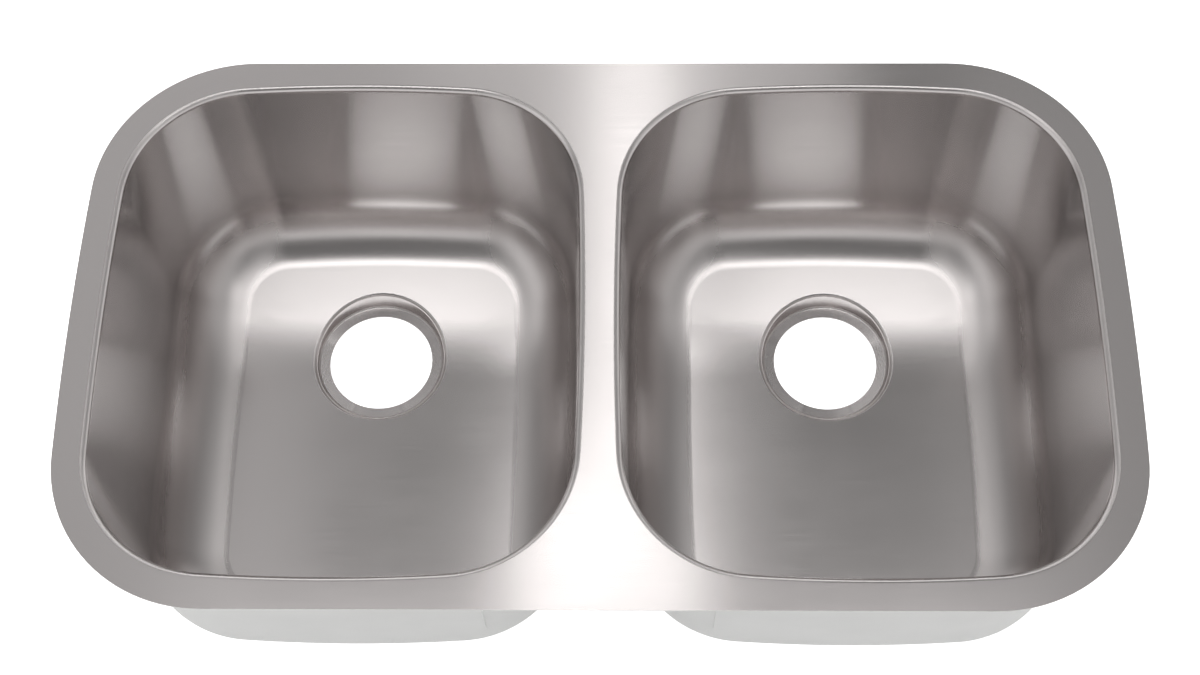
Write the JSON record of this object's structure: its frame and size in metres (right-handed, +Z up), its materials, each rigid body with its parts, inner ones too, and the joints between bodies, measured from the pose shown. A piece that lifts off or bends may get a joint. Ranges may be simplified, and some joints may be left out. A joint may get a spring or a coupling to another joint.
{
  "type": "double bowl kitchen sink",
  "caption": "Undermount kitchen sink of pressed stainless steel, with deep equal bowls side by side, rounded corners, rear-set drain openings and a flat flange that seals under a worktop.",
  "frame": {"origin": "middle of the flange's top face, the face that seals to the worktop", "axes": "+Z up and out of the bowls, +X to the right along the pair of bowls, +Y to the back, where the drains are"},
  "size_m": [0.8192, 0.47, 0.2355],
  "materials": {
    "bowl_steel": "satin brushed stainless sheet",
    "weld_steel": "butt weld, ground flush and brushed on top",
    "sound_pad": "rubber, sprayed over with the pale coat of the bowl's outside",
    "undercoat": "pale sprayed sound-deadening coat with a fine pebbled surface"
  },
  "bodies": {
    "root": {"left_bowl": "bowl_steel", "right_bowl": "bowl_steel", "centre_weld": "weld_steel", "left_outer_side_pad": "sound_pad", "left_divider_side_pad": "sound_pad", "left_front_pad": "sound_pad", "left_back_pad": "sound_pad", "left_floor_pad": "sound_pad", "right_outer_side_pad": "sound_pad", "right_divider_side_pad": "sound_pad", "right_front_pad": "sound_pad", "right_back_pad": "sound_pad", "right_floor_pad": "sound_pad"}
  },
  "joints": []
}
